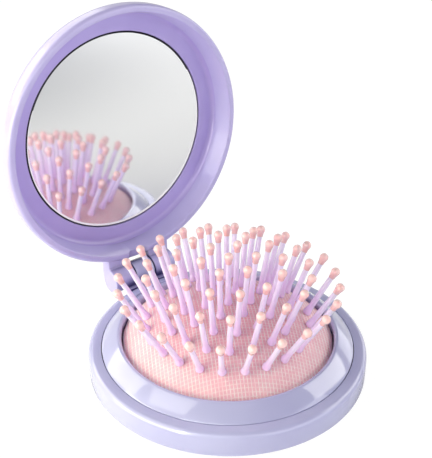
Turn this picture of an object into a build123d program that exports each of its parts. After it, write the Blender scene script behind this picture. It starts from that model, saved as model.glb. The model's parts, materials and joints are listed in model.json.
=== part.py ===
from build123d import *
from math import asin, cos, degrees, radians, sin, sqrt
import os

os.makedirs("parts", exist_ok=True)

# A round pocket hairbrush with a folding mirror lid, shown open.
# Millimetres and degrees. The origin is the centre of the foot ring, on the table;
# +Z is up and the hinge lies towards +Y.

# ---------------------------------------------------------------- driving dimensions
# Base shell
shell_radius = 35.0
foot_depth = 7.0            # how far the dished underside reaches below the outer wall
wall_height = 5.85          # from the wall's lower edge to the start of the shoulder
edge_height = 0.42          # soft lower edge of the wall
edge_width = 3.4
shoulder_rise = 0.7
shoulder_width = 3.2        # from the outer wall in to the opening that the bezel drops into
dish_wall = 2.2
floor_thickness = 1.8
foot_outer_radius = 24.5
foot_width = 2.6
foot_height = 0.6
thumb_hole_radius = 13.0
ledge_depth = 3.95          # the cushion's seat, below the step where the bezel starts
ledge_width = 3.0

# Bezel, cushion and clamp
bezel_clearance = 0.2
bezel_rise = 3.25           # crest above the step
bezel_width = 5.0
crest_radius = 0.8
crest_face_angle = 60.0     # where the rounded crest turns into the face
bezel_wall = 1.6
bezel_bulge = 16.0          # radius of the bezel's gently domed face
crevice = 0.5               # gap all round between bezel and cushion
cushion_thickness = 1.2
dome_rise = 9.4             # crown of the popped-up cushion above its edge
dome_edge_drop = 1.3        # dome edge below the bezel's crest
dome_edge_inset = 0.3
clamp_thickness = 1.2
clamp_width = 2.6

# Bristles
bristle_reach = 13.6        # cushion surface to the centre of the ball tip
ball_radius = 1.1
tip_neck_radius = 0.78
tip_neck_length = 1.9       # ball centre down to the open end of the tip
stem_root_radius = 1.05
stem_waist_radius = 0.78
stem_waist_height = 2.3
stem_top_radius = 0.66
stem_neck_radius = 0.66
stem_tenon_radius = 0.45    # core of the stem inside its tip
foot_disc_radius = 1.3
foot_disc_thickness = 0.6
rubber_clearance = 0.15
tip_clearance = 0.05
tip_wall_top = 0.7          # solid cap of the tip below the ball centre
brush_turn = 3.1            # the pad is seated a few degrees round from the hinge line
row_2_radius = 5.6
row_3_radius = 10.7
row_4_radius = 15.6
row_5_radius = 20.2
bristle_rows = {            # row number: (bristles, root radius, lean, start angle)
    1: (1, 0.0, 0.0, 0.0),
    2: (6, row_2_radius, 5.0, 30.0),
    3: (12, row_3_radius, 12.0, 0.0),
    4: (18, row_4_radius, 19.8, 10.0),
    5: (24, row_5_radius, 30.6, 0.0),
}

# Press button under the middle of the cushion
button_radius = 7.2
button_thickness = 2.0

# Hinge
hinge_stand_off = 4.6       # axis of the hinge outside the base's wall
hinge_lift = 0.3            # axis above the lid's rim plane when the lid is shut
barrel_radius = 3.5
knuckle_width = 5.8
hinge_width = 19.6
hinge_side_gap = 0.3
pin_radius = 0.8
pin_running_fit = 0.06
pin_end_cover = 0.8
pin_end_gap = 0.15
lid_open_angle = 93.5
heel_width = 3.2            # the stop under each ear that leans on the base wall
heel_height = 1.8
heel_drop = 1.5
stop_gap = 0.08
knuckle_arm_height = 3.9
knuckle_arm_drop = 1.3      # top of the arm below the hinge axis

# Lid
lid_gap = 0.55              # shut rim above the step of the base
lid_inset = 0.06            # lid wall inside the base's wall
lid_side_height = 3.0
lid_round_width = 8.0
lid_crown = 0.9
lip_width = 1.94
lid_bore_taper = 1.2        # inner wall, from the lip to where it meets the mirror frame
frame_depth = 6.4           # frame face below the rim plane
frame_cover = 2.2           # top of the lid's rounding above the frame's face
frame_side_gap = 0.3
frame_width = 4.5
frame_thickness = 0.8
frame_chamfer = 0.5
frame_edge = 0.3
frame_seat_gap = 0.2
mirror_set_back = 0.1
mirror_thickness = 0.9
mirror_clearance = 0.08
tape_thickness = 0.2
tape_inset = 1.0
notch_height = 0.9
notch_depth = 2.6

# ---------------------------------------------------------------- derived places
shell_opening = shell_radius - shoulder_width
bezel_radius = shell_opening - bezel_clearance
bezel_opening = bezel_radius - bezel_width
hinge_reach = shell_radius + hinge_stand_off
lid_radius = shell_radius - lid_inset
lip_inner_radius = lid_radius - lip_width
lid_bore_radius = lip_inner_radius - lid_bore_taper
frame_radius = lid_bore_radius - frame_side_gap
mirror_radius = frame_radius - frame_width
lid_round_height = frame_depth + frame_cover - lid_side_height

wall_bottom = foot_depth
shoulder_z = wall_bottom + wall_height
step_z = shoulder_z + shoulder_rise
ledge_z = step_z - ledge_depth
flange_top_z = ledge_z + cushion_thickness
clamp_top_z = flange_top_z + clamp_thickness
crest_z = step_z + bezel_rise
floor_top = foot_height + floor_thickness

dome_edge_z = crest_z - dome_edge_drop
cushion_wall_radius = bezel_opening - crevice
dome_edge_radius = cushion_wall_radius - dome_edge_inset
crown_z = dome_edge_z + dome_rise
dome_radius = (dome_edge_radius**2 + dome_rise**2) / (2 * dome_rise)
dome_centre_z = crown_z - dome_radius

lid_seat_z = step_z + lid_gap
hinge_z = lid_seat_z + hinge_lift
hinge_half = hinge_width / 2
knuckle_half = knuckle_width / 2
ear_start = knuckle_half + hinge_side_gap
ear_width = hinge_half - ear_start
bore_half = hinge_half - pin_end_cover
pin_half = bore_half - pin_end_gap

# The open lid's own directions: outwards through its back, and from its centre to the hinge.
lid_out = Vector(0, sin(radians(lid_open_angle)), cos(radians(lid_open_angle)))
lid_to_hinge = Vector(0, cos(radians(lid_open_angle)), -sin(radians(lid_open_angle)))
hinge_point = Vector(0, hinge_reach, hinge_z)
lid_centre = hinge_point - lid_to_hinge * hinge_reach - lid_out * hinge_lift
lid_axis = Axis(lid_centre, lid_out)
lid_section = Plane(origin=lid_centre, x_dir=(1, 0, 0), z_dir=lid_to_hinge * -1)
pocket_floor = frame_depth + mirror_set_back + mirror_thickness + tape_thickness
frame_seat = frame_depth + frame_thickness


def hinge_plane(x):
    """Cross-section plane of the hinge at x, turned with the lid."""
    origin = hinge_point + Vector(x, 0, 0)
    return Plane(origin=origin, x_dir=lid_to_hinge, z_dir=(1, 0, 0))


def bristle_locations(row):
    """One location per bristle: on the cushion's surface, its Z axis along the bristle."""
    count, radius, lean, start = bristle_rows[row]
    height = dome_centre_z + sqrt(dome_radius**2 - radius**2)
    places = []
    for i in range(count):
        angle = brush_turn + start + 360 * i / count
        outward = Vector(cos(radians(angle)), sin(radians(angle)), 0)
        along = outward * sin(radians(lean)) + Vector(0, 0, cos(radians(lean)))
        places.append(Plane(origin=outward * radius + Vector(0, 0, height), z_dir=along).location)
    return places


# ---------------------------------------------------------------- base shell
# One moulding: dished floor with a thumb hole, thick outer wall, seat for the cushion
# and the middle knuckle of the hinge.
dish_slope = foot_depth / (shell_radius - edge_width - foot_outer_radius)
dish_shift = dish_wall * sqrt(1 + dish_slope**2)
seat_inner_radius = shell_opening - ledge_width


def dish_inner_z(radius):
    """Height of the dish's upper face at a radius."""
    return dish_slope * (radius - foot_outer_radius) + dish_shift


dish_inner_start = foot_outer_radius + (floor_top - dish_shift) / dish_slope

with BuildPart() as base_shell:
    with BuildSketch(Plane.XZ):
        with BuildLine():
            Polyline(
                (thumb_hole_radius, floor_top),
                (thumb_hole_radius, foot_height),
                (foot_outer_radius - foot_width - foot_height, foot_height),
                (foot_outer_radius - foot_width, 0),
                (foot_outer_radius, 0),
                (shell_radius - edge_width, wall_bottom),
            )
            EllipticalCenterArc(
                (shell_radius - edge_width, wall_bottom + edge_height),
                edge_width, edge_height, 270, arc_size=90,
            )
            Line((shell_radius, wall_bottom + edge_height), (shell_radius, shoulder_z))
            EllipticalCenterArc(
                (shell_opening, shoulder_z), shell_radius - shell_opening, shoulder_rise
            )
            Polyline(
                (shell_opening, step_z),
                (shell_opening, ledge_z),
                (seat_inner_radius, ledge_z),
                (seat_inner_radius, dish_inner_z(seat_inner_radius)),
                (dish_inner_start, floor_top),
                (thumb_hole_radius, floor_top),
            )
        make_face()
    revolve(axis=Axis.Z)
    with BuildSketch(Plane.YZ.offset(-knuckle_half)):
        with Locations((hinge_reach, hinge_z)):
            Circle(barrel_radius)
        arm_root = shell_opening + bezel_wall
        arm_top = hinge_z - knuckle_arm_drop
        with BuildLine():
            Polyline(
                (arm_root, shoulder_z - knuckle_arm_height),
                (hinge_reach, hinge_z - barrel_radius),
                (hinge_reach, hinge_z),
                (hinge_reach - barrel_radius, arm_top),
                (arm_root, arm_top - shoulder_rise),
                close=True,
            )
        make_face()
    extrude(amount=knuckle_width)
    with BuildSketch(Plane.YZ.offset(-knuckle_half)):
        with Locations((hinge_reach, hinge_z)):
            Circle(pin_radius)
    extrude(amount=knuckle_width, mode=Mode.SUBTRACT)

base_shell.part.label = "base_shell"
export_step(base_shell.part, "parts/base_shell.step")

# ---------------------------------------------------------------- bezel ring
# Hollow moulded ring with a domed face; its outer leg holds the clamp ring down.
bezel_face_z = step_z + bezel_clearance / 2
groove_inner = bezel_opening + bezel_wall
groove_outer = bezel_radius - bezel_wall

with BuildPart() as bezel_ring:
    with BuildSketch(Plane.XZ):
        with BuildLine():
            Line((bezel_opening, clamp_top_z), (bezel_opening, crest_z - crest_radius))
            crest = CenterArc(
                (bezel_opening + crest_radius, crest_z - crest_radius),
                crest_radius,
                180,
                crest_face_angle - 180,
            )
            RadiusArc(crest @ 1, (bezel_radius, bezel_face_z), bezel_bulge)
            Polyline(
                (bezel_radius, bezel_face_z),
                (bezel_radius, clamp_top_z),
                (groove_outer, clamp_top_z),
                (groove_outer, step_z - bezel_clearance),
                (groove_inner, crest_z - bezel_wall),
                (groove_inner, clamp_top_z),
                (bezel_opening, clamp_top_z),
            )
        make_face()
    revolve(axis=Axis.Z)

bezel_ring.part.label = "bezel_ring"
export_step(bezel_ring.part, "parts/bezel_ring.step")

# ---------------------------------------------------------------- cushion
# Rubber hat: a flange on the seat, a short wall inside the bezel and a thin dome
# with one hole for each bristle.
flange_radius = bezel_radius - bezel_clearance
inner_dome_radius = dome_radius - cushion_thickness
inner_wall_radius = cushion_wall_radius - cushion_thickness
inner_wall_top = dome_centre_z + sqrt(inner_dome_radius**2 - inner_wall_radius**2)
middle_angle = 90 - degrees(asin(dome_edge_radius / dome_radius)) / 2
outer_middle = (
    dome_radius * cos(radians(middle_angle)),
    dome_centre_z + dome_radius * sin(radians(middle_angle)),
)
inner_middle = (
    inner_dome_radius * cos(radians(middle_angle)),
    dome_centre_z + inner_dome_radius * sin(radians(middle_angle)),
)

with BuildPart() as cushion:
    with BuildSketch(Plane.XZ):
        with BuildLine():
            ThreePointArc((0, crown_z), outer_middle, (dome_edge_radius, dome_edge_z))
            Polyline(
                (dome_edge_radius, dome_edge_z),
                (cushion_wall_radius, dome_edge_z - 2 * dome_edge_inset),
                (cushion_wall_radius, flange_top_z),
                (flange_radius, flange_top_z),
                (flange_radius, ledge_z),
                (inner_wall_radius, ledge_z),
                (inner_wall_radius, inner_wall_top),
            )
            ThreePointArc(
                (inner_wall_radius, inner_wall_top), inner_middle, (0, crown_z - cushion_thickness)
            )
            Line((0, crown_z - cushion_thickness), (0, crown_z))
        make_face()
    revolve(axis=Axis.Z)
    for row in bristle_rows:
        with Locations(*bristle_locations(row)):
            Cylinder(
                stem_neck_radius + rubber_clearance, 4 * cushion_thickness, mode=Mode.SUBTRACT
            )

cushion.part.label = "cushion"
export_step(cushion.part, "parts/cushion.step")

# ---------------------------------------------------------------- clamp ring
with BuildPart() as cushion_clamp_ring:
    with BuildSketch(Plane.XY.offset(flange_top_z)):
        Circle(flange_radius)
        Circle(flange_radius - clamp_width, mode=Mode.SUBTRACT)
    extrude(amount=clamp_thickness)

cushion_clamp_ring.part.label = "cushion_clamp_ring"
export_step(cushion_clamp_ring.part, "parts/cushion_clamp_ring.step")

# ---------------------------------------------------------------- press button
# Disc bonded under the middle of the cushion; a thumb through the base pushes it up.
button_top_radius = dome_radius - cushion_thickness - foot_disc_thickness - 2 * rubber_clearance
button_edge_z = dome_centre_z + sqrt(button_top_radius**2 - button_radius**2)
button_top_z = dome_centre_z + button_top_radius
button_bottom_z = button_top_z - button_thickness
button_middle = (
    button_radius / 2,
    dome_centre_z + sqrt(button_top_radius**2 - button_radius**2 / 4),
)

with BuildPart() as press_button:
    with BuildSketch(Plane.XZ):
        with BuildLine():
            ThreePointArc((0, button_top_z), button_middle, (button_radius, button_edge_z))
            Polyline(
                (button_radius, button_edge_z),
                (button_radius, button_bottom_z),
                (0, button_bottom_z),
                (0, button_top_z),
            )
        make_face()
    revolve(axis=Axis.Z)
    lower_edge = press_button.edges().group_by(Axis.Z)[0]
    fillet(lower_edge, radius=button_thickness / 4)

press_button.part.label = "press_button"
export_step(press_button.part, "parts/press_button.step")

# ---------------------------------------------------------------- bristles
# One bristle stands on the XY plane with the cushion's surface at z = 0, and is then
# copied to every place of its row.
foot_top = -cushion_thickness - rubber_clearance
foot_bottom = foot_top - foot_disc_thickness
tip_open_z = bristle_reach - tip_neck_length
stem_top_z = bristle_reach - tip_wall_top
ball_start_angle = -29.0
ball_start = (
    ball_radius * cos(radians(ball_start_angle)),
    bristle_reach + ball_radius * sin(radians(ball_start_angle)),
)

with BuildPart() as one_stem:
    with BuildSketch(Plane.XZ):
        with BuildLine():
            Polyline(
                (0, stem_top_z),
                (0, foot_bottom),
                (foot_disc_radius, foot_bottom),
                (foot_disc_radius, foot_top),
                (stem_neck_radius, foot_top),
                (stem_neck_radius, rubber_clearance),
                (stem_root_radius, rubber_clearance),
                (stem_root_radius, stem_root_radius / 2),
                (stem_waist_radius, stem_waist_height),
                (stem_top_radius, tip_open_z - tip_clearance),
                (stem_tenon_radius, tip_open_z - tip_clearance),
                (stem_tenon_radius, stem_top_z),
                (0, stem_top_z),
            )
        make_face()
    revolve(axis=Axis.Z)

with BuildPart() as one_tip:
    with BuildSketch(Plane.XZ):
        with BuildLine():
            Line((tip_neck_radius, tip_open_z), ball_start)
            CenterArc((0, bristle_reach), ball_radius, ball_start_angle, 90 - ball_start_angle)
            Polyline(
                (0, bristle_reach + ball_radius),
                (0, stem_top_z + tip_clearance),
                (stem_tenon_radius + tip_clearance, stem_top_z + tip_clearance),
                (stem_tenon_radius + tip_clearance, tip_open_z),
                (tip_neck_radius, tip_open_z),
            )
        make_face()
    revolve(axis=Axis.Z)

for row in bristle_rows:
    places = bristle_locations(row)
    with BuildPart() as stems:
        with Locations(*places):
            add(one_stem.part)
    stems.part.label = f"bristle_stems_row_{row}"
    export_step(stems.part, f"parts/bristle_stems_row_{row}.step")

    with BuildPart() as tips:
        with Locations(*places):
            add(one_tip.part)
    tips.part.label = f"bristle_tips_row_{row}"
    export_step(tips.part, f"parts/bristle_tips_row_{row}.step")

# ---------------------------------------------------------------- hinge pin
with BuildPart() as hinge_pin:
    with BuildSketch(Plane.YZ.offset(-pin_half)):
        with Locations((hinge_reach, hinge_z)):
            Circle(pin_radius)
    extrude(amount=2 * pin_half)
    chamfer(hinge_pin.edges().filter_by(GeomType.CIRCLE), length=pin_radius / 4)

hinge_pin.part.label = "hinge_pin"
export_step(hinge_pin.part, "parts/hinge_pin.step")

# ---------------------------------------------------------------- lid shell
# Shallow round cap with a stepped pocket for the frame and the mirror, and two ears.
# Its section is drawn as (radius, height above the rim plane).
round_top = lid_side_height + lid_round_height
round_inner = lid_radius - lid_round_width
crown_height = round_top + lid_crown
crown_radius = (round_inner**2 + lid_crown**2) / (2 * lid_crown)
crown_middle_drop = crown_radius - sqrt(crown_radius**2 - round_inner**2 / 4)
crown_middle = (round_inner / 2, crown_height - crown_middle_drop)
pocket_radius = mirror_radius + frame_seat_gap
seat_outer_radius = frame_radius - frame_chamfer + frame_seat_gap

with BuildPart() as lid_shell:
    with BuildSketch(lid_section):
        with BuildLine():
            Line((lip_inner_radius, 0), (lid_radius, 0))
            Line((lid_radius, 0), (lid_radius, lid_side_height))
            EllipticalCenterArc(
                (round_inner, lid_side_height), lid_round_width, lid_round_height
            )
            ThreePointArc((round_inner, round_top), crown_middle, (0, crown_height))
            Polyline(
                (0, crown_height),
                (0, pocket_floor),
                (pocket_radius, pocket_floor),
                (pocket_radius, frame_seat),
                (seat_outer_radius, frame_seat),
                (frame_radius + frame_seat_gap, frame_depth + frame_edge),
                (lid_bore_radius, frame_depth),
                (lip_inner_radius, 0),
            )
        make_face()
    revolve(axis=lid_axis)
    for ear_x in (-hinge_half, ear_start):
        with BuildSketch(hinge_plane(ear_x)):
            Circle(barrel_radius)
            arm_length = hinge_reach - lip_inner_radius - frame_seat_gap
            with Locations((-arm_length / 2, barrel_radius / 2)):
                Rectangle(arm_length, barrel_radius)
        extrude(amount=ear_width)
    for heel_x in (-ear_start - heel_width, ear_start):
        with BuildSketch(Plane.YZ.offset(heel_x)):
            heel_length = hinge_reach - shell_radius + heel_drop
            heel_middle = hinge_z - heel_drop - heel_height / 2
            with Locations((hinge_reach - heel_length / 2, heel_middle)):
                Rectangle(heel_length, heel_height)
        extrude(amount=heel_width)
    with BuildSketch(Plane.XY):
        Circle(shell_radius + stop_gap)
    extrude(amount=hinge_z, mode=Mode.SUBTRACT)
    with BuildSketch(hinge_plane(-bore_half)):
        Circle(pin_radius + pin_running_fit)
    extrude(amount=2 * bore_half, mode=Mode.SUBTRACT)
    with BuildSketch(hinge_plane(-ear_start)):
        with Locations((lid_radius - hinge_reach - notch_depth / 2, notch_height / 2 - hinge_lift)):
            Rectangle(notch_depth, notch_height)
    extrude(amount=2 * ear_start, mode=Mode.SUBTRACT)

lid_shell.part.label = "lid_shell"
export_step(lid_shell.part, "parts/lid_shell.step")

# ---------------------------------------------------------------- mirror frame
with BuildPart() as mirror_frame:
    with BuildSketch(lid_section):
        with BuildLine():
            Polyline(
                (mirror_radius, frame_depth),
                (frame_radius, frame_depth),
                (frame_radius, frame_depth + frame_edge),
                (frame_radius - frame_chamfer, frame_seat),
                (mirror_radius, frame_seat),
                close=True,
            )
        make_face()
    revolve(axis=lid_axis)

mirror_frame.part.label = "mirror_frame"
export_step(mirror_frame.part, "parts/mirror_frame.step")

# ---------------------------------------------------------------- mirror and its tape
mirror_face = frame_depth + mirror_set_back
mirror_back = mirror_face + mirror_thickness
mirror_plane = Plane(origin=lid_centre, x_dir=(1, 0, 0), z_dir=lid_out)

with BuildPart() as mirror_glass:
    with BuildSketch(mirror_plane.offset(mirror_face)):
        Circle(mirror_radius - mirror_clearance)
    extrude(amount=mirror_thickness)

mirror_glass.part.label = "mirror_glass"
export_step(mirror_glass.part, "parts/mirror_glass.step")

with BuildPart() as mirror_tape:
    with BuildSketch(mirror_plane.offset(mirror_back)):
        Circle(mirror_radius - tape_inset)
    extrude(amount=tape_thickness)

mirror_tape.part.label = "mirror_tape"
export_step(mirror_tape.part, "parts/mirror_tape.step")
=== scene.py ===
# %% [markdown]
# # A folding pocket hairbrush with a mirror lid
# The measured model comes first: every solid is already at its real size and place.
# This notebook only dresses it: it rebuilds the visible skins as smooth meshes on the
# same measurements, gives them finishes, and lights them.

# %% Load the measured model
import json
from math import asin, atan, atan2, cos, degrees, hypot, pi, radians, sin, sqrt, tan

import bmesh
import bpy
from mathutils import Matrix, Vector
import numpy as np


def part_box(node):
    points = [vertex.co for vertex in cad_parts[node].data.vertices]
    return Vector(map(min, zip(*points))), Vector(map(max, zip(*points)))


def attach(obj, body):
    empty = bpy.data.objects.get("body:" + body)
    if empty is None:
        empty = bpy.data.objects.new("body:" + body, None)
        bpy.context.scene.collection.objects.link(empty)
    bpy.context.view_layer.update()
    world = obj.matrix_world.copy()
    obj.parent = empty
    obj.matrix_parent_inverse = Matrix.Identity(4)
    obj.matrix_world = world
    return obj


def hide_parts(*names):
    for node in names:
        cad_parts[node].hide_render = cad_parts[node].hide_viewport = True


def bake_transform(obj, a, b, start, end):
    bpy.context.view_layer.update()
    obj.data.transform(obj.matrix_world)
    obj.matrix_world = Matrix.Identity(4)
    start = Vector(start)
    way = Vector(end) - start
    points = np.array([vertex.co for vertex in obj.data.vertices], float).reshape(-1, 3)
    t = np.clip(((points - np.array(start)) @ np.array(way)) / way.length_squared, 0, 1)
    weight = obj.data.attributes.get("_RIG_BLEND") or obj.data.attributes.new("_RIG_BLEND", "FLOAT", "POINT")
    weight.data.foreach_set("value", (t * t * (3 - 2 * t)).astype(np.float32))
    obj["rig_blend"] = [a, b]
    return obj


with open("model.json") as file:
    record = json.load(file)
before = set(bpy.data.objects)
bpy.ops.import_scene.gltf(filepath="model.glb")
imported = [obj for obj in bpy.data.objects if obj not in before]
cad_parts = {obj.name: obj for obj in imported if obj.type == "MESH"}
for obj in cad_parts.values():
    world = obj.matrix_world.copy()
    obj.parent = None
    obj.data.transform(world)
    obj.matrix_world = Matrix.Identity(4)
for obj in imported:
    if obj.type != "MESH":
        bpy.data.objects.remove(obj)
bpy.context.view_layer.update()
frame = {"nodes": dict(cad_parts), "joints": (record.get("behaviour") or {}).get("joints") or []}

MM = 0.001

# %% [markdown]
# ## Measurements
# The outer sizes of each piece are read from the measured solids, so that a skin can't
# drift from the part it covers. Sizes inside a piece repeat the part's own, next to the
# outline that uses them. Soft edges and a few fine details, such as the curled edge of
# the mirror's frame, belong to the skins alone.

# %% Read the base, the pad and the bezel
shell_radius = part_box("base_shell")[1].x
bezel_low, bezel_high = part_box("bezel_ring")
bezel_radius = bezel_high.x
crest_z = bezel_high.z
clamp_top_z = bezel_low.z
cushion_low, cushion_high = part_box("cushion")
flange_radius = cushion_high.x
crown_z = cushion_high.z
seat_z = cushion_low.z
flange_top_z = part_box("cushion_clamp_ring")[0].z
print("base", round(2000 * shell_radius, 1), "mm across, crown at", round(1000 * crown_z, 1), "mm")

# %% Read the hinge and the lid
hinge_joint = next(joint for joint in frame["joints"] if joint["name"] == "lid_hinge")
hinge = Vector(hinge_joint["pos_m"])
open_angle = radians(hinge_joint["range_deg"][1])
lid_out = Vector((0, sin(open_angle), cos(open_angle)))
lid_to_hinge = Vector((0, cos(open_angle), -sin(open_angle)))
rim_below_hinge = 0.3 * MM
lid_centre = hinge - lid_to_hinge * hinge.y - lid_out * rim_below_hinge
lid_place = Matrix((
    (1, lid_to_hinge.x, lid_out.x, lid_centre.x),
    (0, lid_to_hinge.y, lid_out.y, lid_centre.y),
    (0, lid_to_hinge.z, lid_out.z, lid_centre.z),
    (0, 0, 0, 1),
))
print("lid opens", round(hinge_joint["range_deg"][1], 1), "degrees")

# %% [markdown]
# ## Mesh helpers
# Almost everything on this brush is round, as moulded parts often are. A lathe helper
# turns a half outline into a skin. The outline's corners are rounded first, because a
# real mould has no knife edges, and those small radii are what catch the light.


# %% Round the corners of an outline
def soft_outline(corners, steps=5):
    """Points of an outline. Each corner is (radius, height, size of its soft edge)."""
    points = []
    last = len(corners) - 1
    for i, (x, y, size) in enumerate(corners):
        here = Vector((x, y))
        if size == 0 or i in (0, last):
            points.append(here)
            continue
        before = (Vector(corners[i - 1][:2]) - here).normalized()
        after = (Vector(corners[i + 1][:2]) - here).normalized()
        half_turn = before.angle(after) / 2
        reach = size / tan(half_turn)
        start = here + before * reach
        centre = here + (before + after).normalized() * (size / sin(half_turn))
        first = start - centre
        sweep = (here + after * reach - centre).angle_signed(first)
        for step in range(steps + 1):
            spoke = first.copy()
            spoke.rotate(Matrix.Rotation(sweep * step / steps, 2))
            points.append(centre + spoke)
    return points


def arc_points(centre, radii, start, end, steps):
    """Points along an ellipse's arc, with its angles in degrees."""
    angles = [radians(start + (end - start) * i / steps) for i in range(steps + 1)]
    return [Vector((centre[0] + radii[0] * cos(a), centre[1] + radii[1] * sin(a))) for a in angles]


# %% Turn an outline into a skin
def new_piece(name, mesh, smooth_below=30.0):
    """Put a mesh into the scene with smooth shading and crisp edges above an angle."""
    piece = bpy.data.objects.new(name, mesh)
    bpy.context.scene.collection.objects.link(piece)
    mesh.shade_smooth()
    mesh.set_sharp_from_angle(angle=radians(smooth_below))
    return piece


def turn_outline(build, points, around=256, closed=True):
    """Lathe an outline of (radius, height) points about Z into a bmesh."""
    on_axis = 1e-7
    turns = [2 * pi * k / around for k in range(around)]
    rings = []
    for radius, height in points:
        if radius < on_axis:
            rings.append([build.verts.new((0, 0, height))])
        else:
            rings.append([build.verts.new((radius * cos(t), radius * sin(t), height)) for t in turns])
    pairs = list(zip(rings, rings[1:]))
    if closed:
        pairs.append((rings[-1], rings[0]))
    for ring_a, ring_b in pairs:
        for k in range(around):
            corners = [ring_a[k % len(ring_a)], ring_a[(k + 1) % len(ring_a)],
                       ring_b[(k + 1) % len(ring_b)], ring_b[k % len(ring_b)]]
            face = list(dict.fromkeys(corners))
            if len(face) > 2:
                build.faces.new(face)
    return rings


def finish_mesh(build, name, place=None, smooth_below=30.0):
    """Close a bmesh: outward faces, its place in the model, a named piece."""
    bmesh.ops.recalc_face_normals(build, faces=build.faces)
    if place is not None:
        build.transform(place)
    mesh = bpy.data.meshes.new(name)
    build.to_mesh(mesh)
    build.free()
    return new_piece(name, mesh, smooth_below)


# %% Extrude a flat outline along the hinge
def add_block(build, outline, x_start, x_end, soft_edge):
    """Add a bar of a (y, z) outline from x_start to x_end, with its edges softened."""
    crisp_angle = radians(35)
    bar = bmesh.new()
    near = [bar.verts.new((x_start, y, z)) for y, z in outline]
    far = [bar.verts.new((x_end, y, z)) for y, z in outline]
    bar.faces.new(near)
    bar.faces.new(list(reversed(far)))
    count = len(outline)
    for k in range(count):
        bar.faces.new([near[(k + 1) % count], near[k], far[k], far[(k + 1) % count]])
    bmesh.ops.recalc_face_normals(bar, faces=bar.faces)
    rim = [edge for edge in bar.edges if edge.calc_face_angle(0) > crisp_angle]
    bmesh.ops.bevel(bar, geom=rim, offset=soft_edge, segments=3, profile=0.5, affect="EDGES")
    mesh = bpy.data.meshes.new("bar")
    bar.to_mesh(mesh)
    bar.free()
    build.from_mesh(mesh)
    bpy.data.meshes.remove(mesh)


# %% [markdown]
# ## Shader maths
# A finish is easier to read as arithmetic than as a web of boxes. A small class wraps a
# shader socket, so that `1 - mask` or `mask * 0.2` adds the Math nodes by itself.


# %% Sockets that do arithmetic
class Value:
    """A number that changes over the surface."""

    def __init__(self, shading, socket):
        self.shading = shading
        self.socket = socket

    def maths(self, operation, *others):
        """Add one Math node with this value first and the others after it."""
        values = [other.socket if isinstance(other, Value) else other for other in others]
        inputs = {0: self.socket}
        inputs.update({i + 1: value for i, value in enumerate(values)})
        return self.shading.node("ShaderNodeMath", {"operation": operation}, inputs).value(0)

    def __add__(self, other):
        return self.maths("ADD", other)

    def __mul__(self, other):
        return self.maths("MULTIPLY", other)

    def __sub__(self, other):
        return self.maths("SUBTRACT", other)

    def __rsub__(self, other):
        return self * -1 + other

    __radd__ = __add__
    __rmul__ = __mul__

    def fraction(self):
        """What is left after the whole part is taken off."""
        return self.maths("FRACT")

    def size(self):
        """The value without its sign."""
        return self.maths("ABSOLUTE")

    def largest(self, other):
        return self.maths("MAXIMUM", other)

    def ramp(self, low, high, start=0.0, end=1.0):
        """From start below low to end above high, with a soft step between them."""
        settings = {"interpolation_type": "SMOOTHSTEP"}
        inputs = {"Value": self.socket, "From Min": low, "From Max": high,
                  "To Min": start, "To Max": end}
        return self.shading.node("ShaderNodeMapRange", settings, inputs).value("Result")


class Node:
    """A shader node whose sockets are read by name or number."""

    def __init__(self, shading, node):
        self.shading = shading
        self.node = node

    def value(self, name):
        return Value(self.shading, self.node.outputs[name])

    def socket(self, name):
        return self.node.outputs[name]


# %% A tree of shader nodes
class Shading:
    """The nodes of a material or of the room."""

    def __init__(self, owner):
        owner.use_nodes = True
        self.tree = owner.node_tree

    def node(self, kind, settings=None, inputs=None):
        """Add a node of a kind: first its settings, then the values or links of its sockets."""
        made = self.tree.nodes.new(kind)
        for key, value in (settings or {}).items():
            setattr(made, key, value)
        for key, value in (inputs or {}).items():
            value = value.socket if isinstance(value, Value) else value
            if isinstance(value, bpy.types.NodeSocket):
                self.tree.links.new(value, made.inputs[key])
            else:
                made.inputs[key].default_value = value
        return Node(self, made)

    def join(self, source, node_name, socket):
        """Link a socket to a node that the tree already has."""
        self.tree.links.new(source, self.tree.nodes[node_name].inputs[socket])

    def mix_shaders(self, factor, first, second):
        """Two shaders mixed: the first where the factor is 0, the second where it is 1."""
        inputs = {0: factor, 1: first, 2: second}
        return self.node("ShaderNodeMixShader", {}, inputs).socket(0)


# %% A finish
class Finish(Shading):
    """One material: its shader and whatever feeds it."""

    def __init__(self, name, **constants):
        self.material = bpy.data.materials.new(name)
        super().__init__(self.material)
        self.shader = self.tree.nodes["Principled BSDF"]
        for socket, value in constants.items():
            self.shader.inputs[socket.replace("_", " ")].default_value = value

    def feed(self, socket, source):
        """Let a value, a colour or a normal drive a socket of the shader."""
        source = source.socket if isinstance(source, Value) else source
        self.tree.links.new(source, self.shader.inputs[socket])

    def place(self):
        """Where a point lies on the model, in metres, with the piece at rest."""
        return self.node("ShaderNodeTexCoord").socket("Object")

    def distance(self, middle):
        """How far a point lies from a middle, in metres."""
        settings = {"operation": "DISTANCE"}
        return self.node("ShaderNodeVectorMath", settings, {0: self.place(), 1: middle}).value("Value")

    def noise(self, size, detail=3.0, rough=0.5):
        """Cloudy noise about 0.5, with features of a given size in metres."""
        inputs = {"Vector": self.place(), "Scale": 1 / size, "Detail": detail, "Roughness": rough}
        return self.node("ShaderNodeTexNoise", {"noise_dimensions": "3D"}, inputs).value("Fac")

    def mix(self, factor, first, second):
        """A colour between two colours. The colour sockets of a Mix node are 6, 7 and 2."""
        inputs = {0: factor, 6: first, 7: second}
        return self.node("ShaderNodeMix", {"data_type": "RGBA"}, inputs).socket(2)

    def uneven_shine(self, size, spread, least, detail=3.0):
        """Roughness from least to least + spread, in cloudy patches of a given size."""
        self.feed("Roughness", self.noise(size, detail) * spread + least)

    def bump(self, height, depth):
        """Small relief: height from 0 to 1 over a depth in metres."""
        inputs = {"Height": height, "Distance": depth, "Strength": 1.0}
        self.feed("Normal", self.node("ShaderNodeBump", {}, inputs).socket("Normal"))


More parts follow.
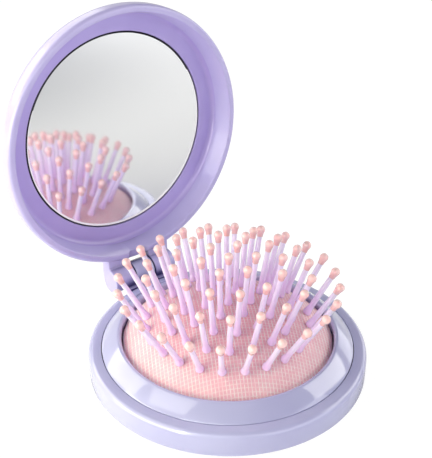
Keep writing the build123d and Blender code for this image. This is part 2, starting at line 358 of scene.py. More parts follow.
def srgb(red, green, blue):
    """A colour as a painter reads it, 0 to 255, turned into light."""
    def light(level):
        level = level / 255
        return level / 12.92 if level <= 0.04045 else ((level + 0.055) / 1.055) ** 2.4
    return (light(red), light(green), light(blue), 1.0)


def grey(level):
    """A grey by the share of light that it gives back."""
    return (level, level, level, 1.0)


def wear(piece, finish):
    """Give a piece one finish all over."""
    piece.data.materials.clear()
    piece.data.materials.append(finish.material)


# %% [markdown]
# ## Camera
# The camera looks down at the open brush from the front left. It stands close enough
# for the lid, further back, to look a little smaller than the base.

# %% Place the camera
image_width, image_height = 432, 458
sensor_width = 36.0
focal_pixels = 988.2
camera_distance = 252.4 * MM
camera_height_angle = radians(37.07)
camera_turn = radians(-38.74)
camera_roll = radians(0.89)
aim_point = Vector((0, 0, 12 * MM))
aim_pixel = (229.2, 345.4)

away = Vector((
    sin(camera_turn) * cos(camera_height_angle),
    -cos(camera_turn) * cos(camera_height_angle),
    sin(camera_height_angle),
))
right = (-away).cross(Vector((0, 0, 1))).normalized()
down = (-away).cross(right).normalized()
level_view = Matrix((right, down, -away))
yaw = atan((aim_pixel[0] - image_width / 2) / focal_pixels)
pitch = atan((aim_pixel[1] - image_height / 2) / focal_pixels * cos(yaw))
turn = Matrix(((cos(yaw), 0, sin(yaw)), (0, 1, 0), (-sin(yaw), 0, cos(yaw))))
nod = Matrix(((1, 0, 0), (0, cos(pitch), sin(pitch)), (0, -sin(pitch), cos(pitch))))
tip = Matrix((
    (cos(camera_roll), -sin(camera_roll), 0),
    (sin(camera_roll), cos(camera_roll), 0),
    (0, 0, 1),
))
view = tip @ turn @ nod @ level_view

camera_data = bpy.data.cameras.new("camera")
camera_data.sensor_width = sensor_width
camera_data.lens = focal_pixels * sensor_width / image_height
camera_data.clip_start = 10 * MM
camera = bpy.data.objects.new("camera", camera_data)
bpy.context.scene.collection.objects.link(camera)
facing = Matrix((view[0], -view[1], -view[2])).transposed()
camera.matrix_world = Matrix.Translation(aim_point + away * camera_distance) @ facing.to_4x4()
bpy.context.scene.camera = camera
print("lens", round(camera_data.lens, 1), "mm")

# %% [markdown]
# ## Studio
# A white room. Its backdrop is plain white to the camera and through clear plastic.
# Reflections see a sky that fades overhead and brightens on the left, and the brush is
# lit by a weaker, slightly blue copy of it.

# %% Colour management and the room
scene = bpy.context.scene
scene.view_settings.view_transform = "Standard"

room = bpy.data.worlds.new("white_room")
scene.world = room
air = Shading(room)


def glow(colour, strength):
    """A background of one colour, as bright as its strength says."""
    inputs = {"Color": colour, "Strength": strength}
    return air.node("ShaderNodeBackground", {}, inputs).socket(0)


looking = air.node("ShaderNodeTexCoord").socket("Generated")
direction = air.node("ShaderNodeSeparateXYZ", {}, {0: looking})
overhead = direction.value("Z").ramp(0.15, 0.75, 1.0, 0.3)
window_side = (direction.value("X") * -1).ramp(0.35, 1.0)
sky = overhead * 0.72 + window_side * 0.9
backdrop = glow(grey(1.0), 1.0)
glossy_sky = glow(grey(1.0), sky)
soft_sky = glow((0.96, 0.96, 1.0, 1.0), sky * 0.56)
ray = air.node("ShaderNodeLightPath")
shown = soft_sky
for kind, background in (
    ("Is Glossy Ray", glossy_sky), ("Is Transmission Ray", backdrop), ("Is Camera Ray", backdrop)
):
    shown = air.mix_shaders(ray.socket(kind), shown, background)
air.join(shown, "World Output", "Surface")
print("room", room.name)

# %% Floor
floor_size = 1.2
corner = floor_size / 2
floor_mesh = bpy.data.meshes.new("studio_floor")
floor_mesh.from_pydata(
    [(-corner, -corner, 0), (corner, -corner, 0), (corner, corner, 0), (-corner, corner, 0)],
    [], [(0, 1, 2, 3)],
)
floor = bpy.data.objects.new("studio_floor", floor_mesh)
scene.collection.objects.link(floor)
print("floor", floor_size, "m wide")

# %% [markdown]
# ## Floor paper
# The paper is white to the camera. The brush also gets light back from it: less from a patch
# of painted shade in front, which lets the front of the wall fall off towards its foot, and
# a little more from a painted glow on the left.

# %% Colour the floor paper
paper_white = 1.06
camera_share = 0.9
shade_middle = (0.04, -0.24, 0)
shade_start, shade_end = 0.05, 0.17
lit_reach = 0.12
paper = Finish("floor_paper", Roughness=0.9, Emission_Strength=1.0)
# Painted shade: the paper is grey in a patch in front of the brush.
out_of_shade = paper.distance(shade_middle).ramp(shade_start, shade_end)
paper.feed("Base Color", paper.mix(out_of_shade, (0.60, 0.605, 0.62, 1.0), grey(0.95)))
across_floor = paper.node("ShaderNodeSeparateXYZ", {}, {0: paper.place()})
# Painted light: the paper glows on its left, for reflections and bounced light, and a tenth as much for the
# camera.
lit_side = (across_floor.value("X") * -1).ramp(0.0, lit_reach)
paper.feed("Emission Color", paper.mix(lit_side, grey(0.0), grey(0.34)))
plain_white = paper.node("ShaderNodeEmission", {}, {"Color": grey(1.0), "Strength": paper_white})
seen_directly = paper.node("ShaderNodeLightPath").value("Is Camera Ray") * camera_share
paper_shown = paper.mix_shaders(seen_directly, paper.shader.outputs[0], plain_white.socket(0))
paper.join(paper_shown, "Material Output", "Surface")
wear(floor, paper)
print("paper laid")

# %% [markdown]
# ## Lamps
# Large softboxes on both sides give the long pale windows that glossy plastic reflects,
# and wide, weaker ones lift the shaded sides. Two narrow ones show only as reflections:
# a line along the shell's shoulder and one on the curled edge of the mirror frame.

# %% Set up the lamps
lamp_target = Vector((0, 0, 20 * MM))
lamp_distance = 0.5


def towards(turn_angle, height_angle):
    """A direction: turned from the +X axis and raised from the floor, in degrees."""
    turned, raised = radians(turn_angle), radians(height_angle)
    return Vector((cos(turned) * cos(raised), sin(turned) * cos(raised), sin(raised)))


def soft_lamp(name, centre, end, length, width, brightness, tint=(1.0, 1.0, 1.0), shine_only=False):
    """A softbox in a direction from the brush, its long side running towards another.

    With shine_only it shows in reflections and adds no other light.
    """
    data = bpy.data.lights.new(name, "AREA")
    data.color = tint
    data.shape = "RECTANGLE"
    data.size, data.size_y = length * lamp_distance, width * lamp_distance
    data.energy = brightness * pi * data.size * data.size_y
    lamp = bpy.data.objects.new(name, data)
    lamp.visible_diffuse = not shine_only
    scene.collection.objects.link(lamp)
    back = towards(*centre)
    long_side = towards(*end) - back
    long_side = (long_side - back * long_side.dot(back)).normalized()
    axes = Matrix((long_side, back.cross(long_side), back)).transposed().to_4x4()
    lamp.matrix_world = Matrix.Translation(lamp_target + back * lamp_distance) @ axes


warm = (1.0, 0.99, 0.9)
warmer = (1.0, 0.988, 0.74)
cool = (0.97, 0.98, 1.0)
soft_lamp("left_softbox_low", (122, 29), (141.7, 40.4), 0.66, 0.50, 2.8, warm)
soft_lamp("left_softbox_high", (166.7, 52.6), (190, 57), 0.49, 0.50, 2.3, warm)
soft_lamp("right_softbox_high", (-21, 30.6), (-5, 17), 0.68, 0.44, 3.1, warm)
soft_lamp("right_softbox_low", (7.5, 8.5), (18, -1), 0.3, 0.44, 1.3)
soft_lamp("left_fill", (170, 15), (195, 15), 1.0, 0.5, 5.15, warmer)
soft_lamp("front_fill", (-70, 18), (-48, 18), 1.1, 0.50, 1.85, cool)
soft_lamp("back_rim", (88, 32), (108, 32), 0.7, 0.3, 2.2)
soft_lamp("front_strip", (-129, 35), (-105, 30), 1.3, 0.12, 6.0, shine_only=True)
soft_lamp("left_slit", (-160, 14), (-160, 30), 0.8, 0.045, 44, shine_only=True)
print(len(bpy.data.lights), "lamps")

# %% [markdown]
# ## Lavender plastic
# Shell, bezel and lid are glossy moulded plastic. A moulded gloss is never perfectly
# even: the pigment drifts a little and the polish of the mould leaves faint, fine
# unevenness in the shine. Both come from slow noise rather than from a picture.


# %% Mix the moulded plastics
def moulded_plastic(name, colour, deep_colour, haze, coat, coat_haze=0.06, hinged=False, ior=1.5):
    """Pigmented plastic under a clear shine, with a slight drift of pigment and haze.

    A hinged piece also gets painted shade in the corners of its hinge: dark navy where ambient occlusion
    finds hollows near it.
    """
    plastic = Finish(name, IOR=ior, Coat_Weight=coat, Coat_Roughness=coat_haze)
    drift = plastic.noise(14 * MM, detail=2.0).ramp(0.35, 0.65)
    pigment = plastic.mix(drift, deep_colour, colour)
    if hinged:
        # Painted shade: near the hinge, the pigment turns dark navy where ambient occlusion finds little
        # open space.
        hinge_shade_middle = (0, hinge.y - 1 * MM, hinge.z + 2 * MM)
        away_from_hinge = plastic.distance(hinge_shade_middle).ramp(8 * MM, 13 * MM)
        openness = plastic.node(
            "ShaderNodeAmbientOcclusion", {"samples": 8}, {"Distance": 5 * MM}
        ).value("AO").ramp(0.3, 1.0)
        painted_hinge_shade = (1 - away_from_hinge) * (1 - openness)
        pigment = plastic.mix(painted_hinge_shade, pigment, srgb(52, 44, 112))
    plastic.feed("Base Color", pigment)
    fine = plastic.noise(0.9 * MM, detail=4.0, rough=0.6)
    plastic.feed("Roughness", fine * 0.08 + haze)
    plastic.bump(plastic.noise(2.4 * MM, detail=1.0), 0.006 * MM)
    return plastic


shell_plastic = moulded_plastic(
    "shell_lavender", srgb(186, 186, 226), srgb(182, 181, 223), haze=0.2, coat=0.8,
    coat_haze=0.13, hinged=True,
)
bezel_plastic = moulded_plastic(
    "bezel_lavender", srgb(184, 184, 223), srgb(180, 179, 220), haze=0.1, coat=1.0,
    coat_haze=0.03,
)
lid_plastic = moulded_plastic(
    "lid_lavender", srgb(189, 181, 229), srgb(184, 176, 226), haze=0.25, coat=0.5,
    coat_haze=0.14, hinged=True, ior=1.47,
)
frame_plastic = moulded_plastic(
    "frame_lavender", srgb(179, 165, 224), srgb(174, 159, 221), haze=0.26, coat=0.3,
)
clamp_plastic = moulded_plastic(
    "clamp_lavender", srgb(180, 172, 214), srgb(174, 166, 210), haze=0.38, coat=0.0,
)
print("plastics mixed")

# %% [markdown]
# ## Base shell
# The shell is one moulding: a dished floor on a foot ring, a thick upright wall and a
# gently sloping shoulder. It could be a subdivision cage, but a turned outline keeps
# its true radius everywhere and gives the shoulder an unbroken reflection.

# %% Outline of the shell
foot_radius = 24.5 * MM
foot_width = 2.6 * MM
foot_height = 0.6 * MM
thumb_hole = 13 * MM
floor_top = 2.4 * MM
floor_middle = (floor_top + foot_height) / 2
dish_thickness = 2.2 * MM
shell_opening = bezel_radius + 0.06 * MM
wall_bottom = 7.0 * MM
edge_width = 3.4 * MM
edge_height = 0.42 * MM
edge_middle = shell_radius - edge_width
shoulder_z = 12.85 * MM
shoulder_rise = 0.7 * MM
step_z = shoulder_z + shoulder_rise
brow = 1.5 * MM             # the rounded outer edge of the shoulder
brow_z = shoulder_z - 0.93 * MM
fall_steps = 16
ledge_inner = 28.8 * MM
dish_slope = wall_bottom / (edge_middle - foot_radius)
dish_shift = dish_thickness * sqrt(1 + dish_slope**2)
dish_at_ledge = dish_slope * (ledge_inner - foot_radius) + dish_shift
dish_start = foot_radius + (floor_top - dish_shift) / dish_slope

shell_points = soft_outline([
    (thumb_hole, floor_middle, 0),
    (thumb_hole, foot_height, 0.35 * MM),
    (foot_radius - foot_width - foot_height, foot_height, 0.2 * MM),
    (foot_radius - foot_width, 0, 0.2 * MM),
    (foot_radius, 0, 0.4 * MM),
    (edge_middle, wall_bottom, 0),
])
shell_points += arc_points(
    (edge_middle, wall_bottom + edge_height), (edge_width, edge_height), 276, 360, 14
)
shell_points += arc_points((shell_radius - brow, brow_z), (brow, brow), 0, 78, 14)
brow_end = shell_points[-1]
fall = (step_z - brow_end.y) / (brow_end.x - shell_opening) ** 2
for step in range(1, fall_steps):
    reach = (brow_end.x - shell_opening) * (1 - step / fall_steps)
    shell_points.append(Vector((shell_opening + reach, step_z - fall * reach**2)))
shell_points += soft_outline([
    (shell_opening, step_z, 0),
    (shell_opening, seat_z, 0),
    (ledge_inner, seat_z, 0.3 * MM),
    (ledge_inner, dish_at_ledge, 0.5 * MM),
    (dish_start, floor_top, 0.8 * MM),
    (thumb_hole, floor_top, 0.4 * MM),
    (thumb_hole, floor_middle, 0),
])[1:-1]
print("shell outline", len(shell_points), "points")

# %% Knuckle of the hinge
barrel_radius = 3.5 * MM
knuckle_half = 2.9 * MM
arm_root = shell_opening + 1.6 * MM
arm_bottom = shoulder_z - 3.9 * MM
arm_top = hinge.z - 1.3 * MM


def barrel_arc(centre, start, end, steps):
    """Points (y, z) round a barrel of the hinge, with the angles in degrees."""
    return [tuple(point) for point in arc_points(centre, (barrel_radius,) * 2, start, end, steps)]


knuckle_outline = [(arm_root, arm_bottom)]
knuckle_outline += barrel_arc((hinge.y, hinge.z), -90, 180, 24)
knuckle_outline += [
    (hinge.y - barrel_radius, arm_top),
    (arm_root, arm_top - shoulder_rise),
]

shell_build = bmesh.new()
turn_outline(shell_build, shell_points)
add_block(shell_build, knuckle_outline, -knuckle_half, knuckle_half, 0.35 * MM)
base_skin = finish_mesh(shell_build, "base_shell_skin")
wear(base_skin, shell_plastic)
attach(base_skin, "base")
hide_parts("base_shell")
print("shell skin", len(base_skin.data.polygons), "faces")

# %% [markdown]
# ## Bezel ring
# The ring around the pad is a separate, more polished moulding. Its face is slightly
# domed, which stretches the softboxes into the long pale windows seen along its front.

# %% Turn the bezel
bezel_opening = 26.6 * MM
crest_radius = 0.8 * MM
crest_face_angle = 60
bezel_wall = 1.6 * MM
bezel_face_z = step_z + 0.1 * MM
bulge = 16 * MM             # the radius of the domed face
crest_middle = (bezel_opening + crest_radius, crest_z - crest_radius)
crest_arc = arc_points(crest_middle, (crest_radius,) * 2, 175, crest_face_angle, 16)
face_start = crest_arc[-1]
face_end = Vector((bezel_radius, bezel_face_z))
chord = face_end - face_start
inward = Vector((chord.y, -chord.x)).normalized() * sqrt(bulge**2 - (chord.length / 2) ** 2)
bulge_centre = (face_end + face_start) / 2 + inward
first_angle, last_angle = (
    degrees(atan2(end.y - bulge_centre.y, end.x - bulge_centre.x)) for end in (face_start, face_end)
)
bezel_face = arc_points(bulge_centre, (bulge,) * 2, first_angle, last_angle, 20)[1:]
bezel_points = soft_outline([
    (bezel_opening + bezel_wall, clamp_top_z, 0),
    (bezel_opening, clamp_top_z, 0.2 * MM),
    (bezel_opening, crest_z - crest_radius, 0),
])
bezel_points += crest_arc
bezel_points += bezel_face[:-1]
bezel_points += soft_outline([
    tuple(bezel_face[-2]) + (0,),
    (bezel_radius, bezel_face_z, 0.12 * MM),
    (bezel_radius, clamp_top_z, 0),
    (bezel_radius - bezel_wall, clamp_top_z, 0),
    (bezel_radius - bezel_wall, step_z - 0.2 * MM, 0.3 * MM),
    (bezel_opening + bezel_wall, crest_z - bezel_wall, 0.3 * MM),
    (bezel_opening + bezel_wall, clamp_top_z, 0),
])[1:-1]
bezel_build = bmesh.new()
turn_outline(bezel_build, bezel_points)
bezel_skin = finish_mesh(bezel_build, "bezel_ring_skin")
wear(bezel_skin, bezel_plastic)
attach(bezel_skin, "base")
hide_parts("bezel_ring")
print("bezel skin", len(bezel_skin.data.polygons), "faces")

# %% [markdown]
# ## Pin and clamp ring
# Both are simple turned or stamped pieces that hardly show, so the measured solids
# stay and only get their finish.

# %% Steel for the pin, plain plastic for the clamp ring
pin_steel = Finish("drawn_steel", Metallic=1.0, Base_Color=srgb(188, 188, 192))
pin_steel.uneven_shine(0.4 * MM, 0.15, 0.25, detail=2.0)
wear(frame["nodes"]["hinge_pin"], pin_steel)
wear(frame["nodes"]["cushion_clamp_ring"], clamp_plastic)
print("pin and clamp ring finished")

# %% [markdown]
# ## The rubber pad
# The pad is a soft dome pressed out of thin rubber, with a fine square weave moulded
# into its face. It is turned like the rest, with enough rings to bend smoothly when the
# brush is pushed in. The weave is drawn by two crossed sets of lines in the finish, and
# the deeper pink towards the middle is painted shade among the bristles.

# %% Rubber with a woven face
weave_pitch = 0.85 * MM
weave_turn = radians(29.5)
weave_depth = 0.05 * MM
middle_end, rim_start = 20 * MM, 31 * MM
rubber = Finish(
    "pad_rubber", IOR=1.45, Sheen_Weight=0.25, Sheen_Roughness=0.5,
    Sheen_Tint=(1.0, 0.86, 0.84, 1.0), Subsurface_Weight=0.5,
    Subsurface_Radius=(1.0, 0.6, 0.6), Subsurface_Scale=2.2 * MM,
)
weave_place = rubber.node(
    "ShaderNodeVectorRotate", {"rotation_type": "Z_AXIS"},
    {"Vector": rubber.place(), "Angle": weave_turn},
).socket("Vector")
along = rubber.node("ShaderNodeSeparateXYZ", {}, {"Vector": weave_place})


def threads(position):
    """Ridges of one set of threads: 1 on a thread, 0 between two."""
    across = (position * (1 / weave_pitch)).fraction() - 0.5
    return 1 - across.size().ramp(0.06, 0.2)


warp = threads(along.value("X"))
weft = threads(along.value("Y"))
wander = rubber.noise(1.3 * MM, detail=2.0).ramp(0.3, 0.62, 0.45, 1.0)
weave = warp.largest(weft * 0.5) * wander
patchy = rubber.noise(5 * MM, detail=3.0).ramp(0.3, 0.7)
rim_pink = rubber.mix(patchy, srgb(240, 179, 191), srgb(248, 192, 201))
# Painted shade: the ground turns a deeper pink towards the middle, among the bristles' roots.
from_origin = rubber.node("ShaderNodeVectorMath", {"operation": "LENGTH"}, {0: weave_place})
towards_rim = from_origin.value("Value").ramp(middle_end, rim_start)
ground_pink = rubber.mix(towards_rim, srgb(255, 163, 184), rim_pink)
rubber.feed("Base Color", rubber.mix(weave, ground_pink, srgb(254, 234, 231)))
rubber.feed("Roughness", 0.62 - weave * 0.12)
rubber.bump(weave, weave_depth)
print("rubber woven at", round(1000 * weave_pitch, 2), "mm")

# %% Outline of the pad
cushion_thickness = 1.2 * MM
pad_wall = 26.1 * MM
pad_inner = pad_wall - cushion_thickness
pad_edge = 25.8 * MM
pad_edge_z = 15.5 * MM
dome_rise = crown_z - pad_edge_z
dome_radius = (pad_edge**2 + dome_rise**2) / (2 * dome_rise)
dome_centre_z = crown_z - dome_radius
lip_gap = 0.33 * MM         # between the pad's lip and the bezel
lip_reach = bezel_opening - lip_gap
lip_z = dome_centre_z + sqrt(dome_radius**2 - lip_reach**2)
lip_bottom = pad_edge_z - 1.4 * MM


def dome_arc(shrink, reach, steps, outward=True):
    """Points of the dome from its middle to a radius, or back."""
    radius = dome_radius - shrink
    end = asin(reach / radius)
    angles = [end * i / steps for i in range(steps + 1)]
    points = [Vector((radius * sin(a), dome_centre_z + radius * cos(a))) for a in angles]
    return points if outward else points[::-1]


pad_points = dome_arc(0, lip_reach - 0.2 * MM, 56)[1:]
pad_points += soft_outline([
    tuple(pad_points[-1]) + (0,),
    (lip_reach, lip_z, 0.08 * MM),
    (lip_reach, lip_bottom, 0.3 * MM),
    (pad_wall, flange_top_z, 0.2 * MM),
    (flange_radius, flange_top_z, 0),
    (flange_radius, seat_z, 0),
    (pad_inner, seat_z, 0.2 * MM),
    (pad_inner, seat_z + 2 * MM, 0),
])[1:]
pad_points += dome_arc(cushion_thickness, pad_inner, 40, outward=False)[:-1]
print("pad outline", len(pad_points), "points")

# %% Turn the pad
pad_around = 192
pad_build = bmesh.new()
rings = turn_outline(pad_build, pad_points, around=pad_around, closed=False)
top_middle = pad_build.verts.new((0, 0, crown_z))
under_middle = pad_build.verts.new((0, 0, crown_z - cushion_thickness))
for k in range(pad_around):
    following = (k + 1) % pad_around
    pad_build.faces.new([top_middle, rings[0][k], rings[0][following]])
    pad_build.faces.new([under_middle, rings[-1][following], rings[-1][k]])
pad = finish_mesh(pad_build, "cushion_pad")
wear(pad, rubber)
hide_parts("cushion")
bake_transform(pad, "base", "bristle_core", start=(0, 0, pad_edge_z), end=(0, 0, crown_z))
print("pad", len(pad.data.polygons), "faces")

# %% [markdown]
# ## How the pad gives way
# When the bristles are pushed in, the dome turns inside out: its middle goes down the
# most, the outer rings of bristles less, and the wall not at all. Each point's share of
# the drop is set by its radius, level under each row of roots, so that the rubber stays
# under its bristles, and sloping between the rows.

# %% Let the dome turn inside out ring by ring
drops = {
    joint["child"]: max(abs(end) for end in joint["range_m"])
    for joint in frame["joints"] if joint["child"].startswith("bristle")
}
core_drop = drops["bristle_core"]
middle_share = drops["bristle_middle_ring"] / core_drop
outer_share = drops["bristle_outer_ring"] / core_drop
folds = [                   # radius, share of the middle's drop
    (12.1 * MM, 1.0),
    (13.6 * MM, middle_share),
    (16.7 * MM, middle_share),
    (17.8 * MM, outer_share),
    (21.7 * MM, outer_share),
    (pad_wall, 0.0),
]
skirt_z = 12.5 * MM         # below this height the pad's wall stays where it is
skirt_fade = 1.8 * MM


def drop_share(radius, height):
    """How far a point of the pad goes down with the middle: 1 is all the way."""
    share = 0.0 if radius > folds[0][0] else 1.0
    for (near, near_share), (far, far_share) in zip(folds, folds[1:]):
        if near <= radius < far:
            share = near_share + (far_share - near_share) * (radius - near) / (far - near)
    return share * min(1.0, max(0.0, (height - skirt_z) / skirt_fade))


shares = pad.data.attributes["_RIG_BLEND"].data
for point, vert in zip(shares, pad.data.vertices):
    point.value = drop_share(hypot(vert.co.x, vert.co.y), vert.co.z)
print("drops in mm", {body: round(1000 * drop, 1) for body, drop in drops.items()})

# %% [markdown]
# ## Bristles
# Sixty-one bristles stand in five rings. Each is a flexible lilac stem with a flared
# root and a peach bead moulded over its end. One of each is turned and copied round
# the rings, and stem and bead share their places, so every bead sits on its own stem.

# %% Finishes of stem and bead
stem_plastic = Finish(
    "stem_lilac", IOR=1.46, Coat_Weight=0.8, Coat_Roughness=0.08, Subsurface_Weight=0.65,
    Subsurface_Radius=(1.0, 0.8, 1.0), Subsurface_Scale=1.2 * MM,
)
up_stem = stem_plastic.node("ShaderNodeAttribute", {"attribute_name": "up_stem"}).value("Fac")
near_root = 1 - up_stem.ramp(0.0, 0.55)
stem_plastic.feed("Base Color", stem_plastic.mix(
    near_root, srgb(233, 221, 254), srgb(234, 207, 249)))
stem_plastic.uneven_shine(0.7 * MM, 0.1, 0.28)

bead_plastic = Finish(
    "bead_peach", IOR=1.48, Coat_Weight=0.5, Coat_Roughness=0.1, Subsurface_Weight=0.4,
    Subsurface_Radius=(1.0, 0.5, 0.4), Subsurface_Scale=0.7 * MM,
)
up_bead = bead_plastic.node("ShaderNodeAttribute", {"attribute_name": "up_stem"}).value("Fac")
bead_drift = bead_plastic.noise(1.6 * MM, detail=2.0).ramp(0.3, 0.7)
ball_peach = bead_plastic.mix(bead_drift, srgb(250, 204, 205), srgb(252, 213, 213))
bead_plastic.feed("Base Color", bead_plastic.mix(
    up_bead.ramp(0.88, 1.0), srgb(243, 190, 193), ball_peach))
bead_plastic.uneven_shine(0.5 * MM, 0.1, 0.2)
print("stem and bead mixed")

# %% Outlines of one stem and one bead
bristle_reach = 13.6 * MM
ball_radius = 1.1 * MM
bead_open = bristle_reach - 1.9 * MM
bead_bore = 0.5 * MM
stem_end = bristle_reach - 0.7 * MM
bore_end = stem_end + 0.05 * MM
shank = 0.66 * MM
peg = 0.45 * MM
head_radius = 1.3 * MM      # the head under the rubber that holds the bristle
head_low, head_top = -1.95 * MM, -1.35 * MM
stem_points = soft_outline([
    (0, head_low, 0),
    (head_radius, head_low, 0.15 * MM),
    (head_radius, head_top, 0.15 * MM),
    (shank, head_top, 0),
    (shank, 0.05 * MM, 0),
    (1.02 * MM, 0, 0.12 * MM),
    (1.1 * MM, 0.6 * MM, 0.45 * MM),
    (0.77 * MM, 2.3 * MM, 2.6 * MM),
    (shank, bead_open, 0),
    (peg, bead_open + 0.02 * MM, 0),
    (peg, stem_end, 0),
    (0, stem_end, 0),
], steps=6)
bead_points = soft_outline([
    (bead_bore, bore_end, 0),
    (bead_bore, bead_open, 0),
    (0.74 * MM, bead_open, 0.05 * MM),
    (0.78 * MM, bead_open + 0.55 * MM, 0.7 * MM),
    (0.96 * MM, bristle_reach - 0.54 * MM, 0),
], steps=4)
bead_points += arc_points((0, bristle_reach), (ball_radius,) * 2, -26, 90, 14)
bead_points += [Vector((0, bore_end))]
print("bristle", round(1000 * (bristle_reach + ball_radius), 1), "mm tall")

# %% Where the bristles stand
bristle_turn = radians(3.1)
bristle_rows = {            # row: (bristles, root radius in mm, lean and start angle in degrees)
    1: (1, 0.0, 0.0, 0.0),
    2: (6, 5.6, 5.0, 30.0),
    3: (12, 10.7, 12.0, 0.0),
    4: (18, 15.6, 19.8, 10.0),
    5: (24, 20.2, 30.6, 0.0),
}
row_bodies = {1: "bristle_core", 2: "bristle_core", 3: "bristle_core",
              4: "bristle_middle_ring", 5: "bristle_outer_ring"}


def bristle_places(row):
    """One matrix per bristle of a row: its root on the pad, its Z along the stem."""
    count, radius, lean, start = bristle_rows[row]
    radius *= MM
    height = dome_centre_z + sqrt(dome_radius**2 - radius**2)
    places = []
    for i in range(count):
        angle = bristle_turn + radians(start + 360 * i / count)
        root = Vector((radius * cos(angle), radius * sin(angle), height))
        lean_over = Matrix.Rotation(angle, 4, "Z") @ Matrix.Rotation(radians(lean), 4, "Y")
        places.append(Matrix.Translation(root) @ lean_over)
    return places


print(sum(count for count, *_ in bristle_rows.values()), "bristles")


# %% Copy them to their rings
def row_piece(name, outline, row, around=28, smooth_below=40.0):
    """All stems or all beads of one row as one piece."""
    row_build = bmesh.new()
    height_layer = row_build.verts.layers.float.new("up_stem")
    one = bmesh.new()
    turn_outline(one, outline, around=around, closed=outline[0].x > 0)
    bmesh.ops.recalc_face_normals(one, faces=one.faces)
    template = bpy.data.meshes.new("template")
    one.to_mesh(template)
    one.free()
    for place in bristle_places(row):
        start = len(row_build.verts)
        row_build.from_mesh(template)
        row_build.verts.ensure_lookup_table()
        for vert in row_build.verts[start:]:
            vert[height_layer] = max(0.0, vert.co.z / bristle_reach)
            vert.co = place @ vert.co
    bpy.data.meshes.remove(template)
    mesh = bpy.data.meshes.new(name)
    row_build.to_mesh(mesh)
    row_build.free()
    return new_piece(name, mesh, smooth_below)


for row, body in row_bodies.items():
    stems = row_piece(f"stems_row_{row}", stem_points, row)
    wear(stems, stem_plastic)
    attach(stems, body)
    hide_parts(f"bristle_stems_row_{row}")
    beads = row_piece(f"beads_row_{row}", bead_points, row)
    wear(beads, bead_plastic)
    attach(beads, body)
    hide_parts(f"bristle_tips_row_{row}")
    print("row", row, bristle_rows[row][0], "bristles")

# %% [markdown]
# ## Press button
# A disc under the middle of the pad lets a thumb push the bristles out again through
# the hole in the base. It is a plain moulding, so the measured solid stays.

# %% Finish the press button
button_plastic = moulded_plastic(
    "button_pink", srgb(240, 176, 184), srgb(236, 168, 178), haze=0.42, coat=0.0,
)
wear(frame["nodes"]["press_button"], button_plastic)
print("press button finished")

# %% [markdown]
# ## Lid
# The lid is a shallow cap, flat-walled at the rim and rounded over to a barely domed
# back. Two ears reach down beside the knuckle. It is drawn shut, in the lid's own
# axes, and then swung open by one matrix, which keeps the arithmetic simple.

# %% Outline of the lid
lid_radius = shell_radius - 0.06 * MM
side_height = 3.0 * MM
round_width = 8.0 * MM
round_height = 5.6 * MM
crown = 0.9 * MM
crown_steps = 24
lip_inner = lid_radius - 1.94 * MM
bore_radius = lip_inner - 1.2 * MM
frame_depth = 6.4 * MM
frame_seat = frame_depth + 0.8 * MM
frame_edge_z = frame_depth + 0.3 * MM
frame_radius = bore_radius - 0.3 * MM
mirror_radius = frame_radius - 4.5 * MM
pocket_radius = mirror_radius + 0.2 * MM
pocket_floor = frame_depth + 1.2 * MM
round_top = side_height + round_height
round_inner = lid_radius - round_width
crown_radius = (round_inner**2 + crown**2) / (2 * crown)

lid_points = soft_outline([
    (bore_radius, frame_depth, 0),
    (lip_inner, 0, 0.42 * MM),
    (lid_radius, 0, 0.95 * MM),
    (lid_radius, side_height, 0),
])
lid_points += arc_points((round_inner, side_height), (round_width, round_height), 3, 90, 30)
for step in range(1, crown_steps):
    reach = round_inner * (1 - step / crown_steps)
    drop = crown_radius - sqrt(crown_radius**2 - reach**2)
    lid_points.append(Vector((reach, round_top + crown - drop)))
lid_points += [
    Vector((0, round_top + crown)),
    Vector((0, pocket_floor)),
    Vector((pocket_radius, pocket_floor)),
    Vector((pocket_radius, frame_seat)),
    Vector((frame_radius - 0.3 * MM, frame_seat)),
    Vector((frame_radius + 0.2 * MM, frame_edge_z)),
]
print("lid outline", len(lid_points), "points")

# %% Ears and the notch between them
ear_start = knuckle_half + 0.3 * MM
ear_end = 9.8 * MM
ear_root = lip_inner + 0.2 * MM
notch_height = 0.9 * MM
notch_inner = lip_inner - 0.5 * MM
shut_hinge = (hinge.y, rim_below_hinge)
ear_outline = [(ear_root, rim_below_hinge), (ear_root, rim_below_hinge + barrel_radius)]
ear_outline += barrel_arc(shut_hinge, 90, -180, 36)

lid_build = bmesh.new()
turn_outline(lid_build, lid_points)
for vert in lid_build.verts:
    between_ears = vert.co.y > 0 and abs(vert.co.x) < ear_start
    on_rim = vert.co.z < notch_height and hypot(vert.co.x, vert.co.y) > notch_inner
    if between_ears and on_rim:
        vert.co.z = notch_height
for side in (-1, 1):
    x_start, x_end = sorted((side * ear_start, side * ear_end))
    add_block(lid_build, ear_outline, x_start, x_end, 0.4 * MM)
lid_build.transform(lid_place)
print("ears", round(1000 * (ear_end - ear_start), 1), "mm wide")

# %% Heels that stop the open lid on the base wall
heel_width = 3.2 * MM
heel_gap = 0.08 * MM
heel_top = hinge.z - 1.5 * MM
heel_low = heel_top - 1.8 * MM
wall_at_heel = sqrt((shell_radius + heel_gap) ** 2 - ear_start**2)
heel_outline = [
    (hinge.y, heel_low), (hinge.y, heel_top), (wall_at_heel, heel_top), (wall_at_heel, heel_low)
]
for side in (-1, 1):
    x_start, x_end = sorted((side * ear_start, side * (ear_start + heel_width)))
    add_block(lid_build, heel_outline, x_start, x_end, 0.15 * MM)
lid_skin = finish_mesh(lid_build, "lid_shell_skin")
wear(lid_skin, lid_plastic)
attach(lid_skin, "lid")
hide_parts("lid_shell")
print("lid skin", len(lid_skin.data.polygons), "faces")
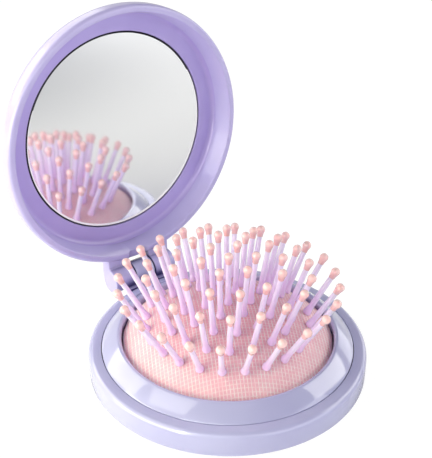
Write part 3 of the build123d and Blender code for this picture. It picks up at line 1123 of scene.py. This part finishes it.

# %% [markdown]
# ## Mirror and its frame
# The frame is a flat satin ring, a shade deeper than the lid, whose outer edge curls up
# along the lid's wall and hides the seam. The mirror is silvered glass: its ground bevel
# carries a painted highlight, a fine pale line, and its blackened rim shows as a dark one.

# %% Turn the frame
frame_skin_radius = bore_radius - 0.03 * MM
curl_height = 1.4 * MM
curl_width = 1.6 * MM
curl_radius = frame_skin_radius + (lip_inner - bore_radius) * curl_height / frame_depth
curl_start = curl_radius - curl_width
frame_points = [Vector((mirror_radius, frame_seat))]
frame_points += soft_outline([
    (mirror_radius, frame_seat, 0),
    (mirror_radius, frame_depth, 0.14 * MM),
    (curl_start, frame_depth, 0),
])[1:-1]
frame_points += arc_points(
    (curl_start, frame_depth - curl_height), (curl_width, curl_height), 90, 12, 12
)
frame_points += [
    Vector((frame_skin_radius, frame_depth)),
    Vector((frame_radius, frame_edge_z)),
    Vector((frame_radius - 0.5 * MM, frame_seat)),
]
frame_build = bmesh.new()
turn_outline(frame_build, frame_points)
frame_skin = finish_mesh(frame_build, "mirror_frame_skin", lid_place)
wear(frame_skin, frame_plastic)
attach(frame_skin, "lid")
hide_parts("mirror_frame")
print("frame skin", len(frame_skin.data.polygons), "faces")

# %% Silver, painted bevel highlight and black edge
silver = Finish("silvered_glass", Metallic=1.0, Roughness=0.06, Base_Color=srgb(242, 243, 248))
# Painted highlight: the bevel is near-white and coated, standing in for the light it catches.
bevel_highlight = Finish("bevel_highlight", Base_Color=srgb(252, 252, 255), Coat_Weight=1.0)
black_edge = Finish("blackened_edge", Base_Color=srgb(16, 15, 26))
for edge_finish in (bevel_highlight, black_edge):
    edge_finish.uneven_shine(0.3 * MM, 0.2, 0.3)
print("glass finishes mixed")

# %% Turn the mirror
glass_radius = mirror_radius - 0.08 * MM
glass_face = frame_depth + 0.1 * MM
glass_back = glass_face + 0.9 * MM
bevel_width = 0.3 * MM
dark_width = 0.4 * MM
dark_depth = 0.35 * MM
bevel_depth = 0.09 * MM
bevel_wander = 0.26 * MM    # the bevel is ground a little off centre
glass_points = [
    Vector((0, glass_face + bevel_depth)),
    Vector((glass_radius - dark_width - bevel_width, glass_face + bevel_depth)),
    Vector((glass_radius - dark_width, glass_face)),
    Vector((glass_radius, glass_face + dark_depth)),
    Vector((glass_radius, glass_back)),
    Vector((0, glass_back)),
]
glass_build = bmesh.new()
glass_rings = turn_outline(glass_build, glass_points, closed=False)
# The off-centre bevel makes its painted highlight wider near the hinge.
for vert in glass_rings[1]:
    vert.co.y -= bevel_wander
glass = finish_mesh(glass_build, "mirror_glass_skin", lid_place, smooth_below=5.0)
wear(glass, silver)
for edge_finish in (bevel_highlight, black_edge):
    glass.data.materials.append(edge_finish.material)
# Slightly tilted faces get the painted highlight; steeper ones get the black edge.
silver_above, highlight_above = 0.9999, 0.9        # how squarely a face looks out of the lid
for polygon in glass.data.polygons:
    squareness = abs(polygon.normal.dot(lid_out))
    polygon.material_index = 0 if squareness > silver_above else 1 if squareness > highlight_above else 2
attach(glass, "lid")
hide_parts("mirror_glass")
print("mirror", round(2000 * glass_radius, 1), "mm across")

# %% [markdown]
# ## Tape behind the mirror
# A disc of foam tape holds the glass in its pocket. It is flat and hidden, so the
# measured solid stays.

# %% Finish the tape
tape_foam = Finish("foam_tape", Base_Color=srgb(225, 225, 222))
tape_foam.uneven_shine(0.5 * MM, 0.2, 0.7)
wear(frame["nodes"]["mirror_tape"], tape_foam)
print("tape finished")
